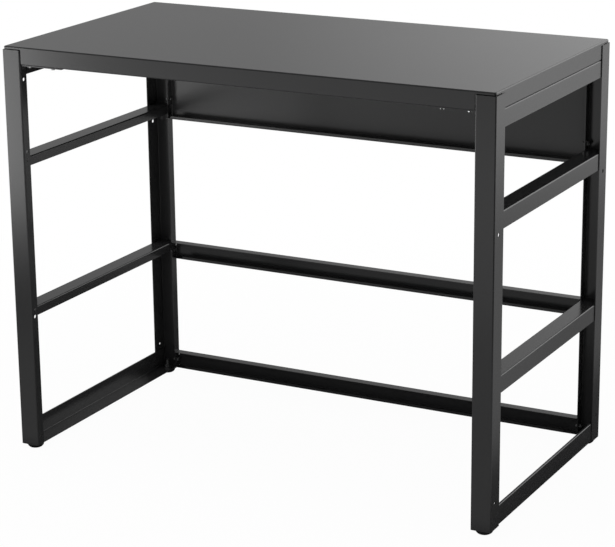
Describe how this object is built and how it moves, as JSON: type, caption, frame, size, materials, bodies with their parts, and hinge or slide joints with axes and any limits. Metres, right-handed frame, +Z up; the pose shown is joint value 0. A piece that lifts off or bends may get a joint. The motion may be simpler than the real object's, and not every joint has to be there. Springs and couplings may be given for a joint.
{
  "type": "desk",
  "caption": "Black powder-coated sheet-steel computer desk with a folded worktop, ladder-like side frames, a modesty panel, back rails and screw-adjusted levelling feet",
  "frame": {"origin": "on the floor, under the middle of the worktop", "axes": "+X to the user's right along the width, the user sits at -Y and the panel is at +Y, +Z up"},
  "size_m": [0.93, 0.5, 0.745],
  "materials": {
    "black_powder_coat": "satin black powder coat on folded sheet steel",
    "zinc_plate": "bright zinc plate on screws, bolts, nuts and stems",
    "black_plastic": "moulded black plastic foot pad"
  },
  "bodies": {
    "frame": {"back_panel": "black_powder_coat", "back_rail_bolts": "zinc_plate", "back_rail_nuts": "zinc_plate", "bracket_screws": "zinc_plate", "front_left_foot_nut": "zinc_plate", "front_left_leg": "black_powder_coat", "front_right_foot_nut": "zinc_plate", "front_right_leg": "black_powder_coat", "front_top_stiffener": "black_powder_coat", "left_bottom_rail": "black_powder_coat", "left_corner_bracket": "black_powder_coat", "left_lower_rail": "black_powder_coat", "left_top_rail": "black_powder_coat", "left_upper_rail": "black_powder_coat", "lower_back_rail": "black_powder_coat", "panel_bolts": "zinc_plate", "panel_nuts": "zinc_plate", "panel_screws": "zinc_plate", "rear_left_foot_nut": "zinc_plate", "rear_left_leg": "black_powder_coat", "rear_right_foot_nut": "zinc_plate", "rear_right_leg": "black_powder_coat", "rear_top_stiffener": "black_powder_coat", "right_bottom_rail": "black_powder_coat", "right_corner_bracket": "black_powder_coat", "right_lower_rail": "black_powder_coat", "right_top_rail": "black_powder_coat", "right_upper_rail": "black_powder_coat", "top_pan": "black_powder_coat", "upper_back_rail": "black_powder_coat"},
    "front_left_foot": {"front_left_foot_pad": "black_plastic", "front_left_foot_stem": "zinc_plate"},
    "front_right_foot": {"front_right_foot_pad": "black_plastic", "front_right_foot_stem": "zinc_plate"},
    "rear_left_foot": {"rear_left_foot_pad": "black_plastic", "rear_left_foot_stem": "zinc_plate"},
    "rear_right_foot": {"rear_right_foot_pad": "black_plastic", "rear_right_foot_stem": "zinc_plate"}
  },
  "joints": [
    {"name": "front_left_foot_screw", "type": "slide", "parent": "frame", "child": "front_left_foot", "axis": [0, 0, -1], "range_m": [0, 0.008]},
    {"name": "front_right_foot_screw", "type": "slide", "parent": "frame", "child": "front_right_foot", "axis": [0, 0, -1], "range_m": [0, 0.008]},
    {"name": "rear_left_foot_screw", "type": "slide", "parent": "frame", "child": "rear_left_foot", "axis": [0, 0, -1], "range_m": [0, 0.008]},
    {"name": "rear_right_foot_screw", "type": "slide", "parent": "frame", "child": "rear_right_foot", "axis": [0, 0, -1], "range_m": [0, 0.008]}
  ]
}
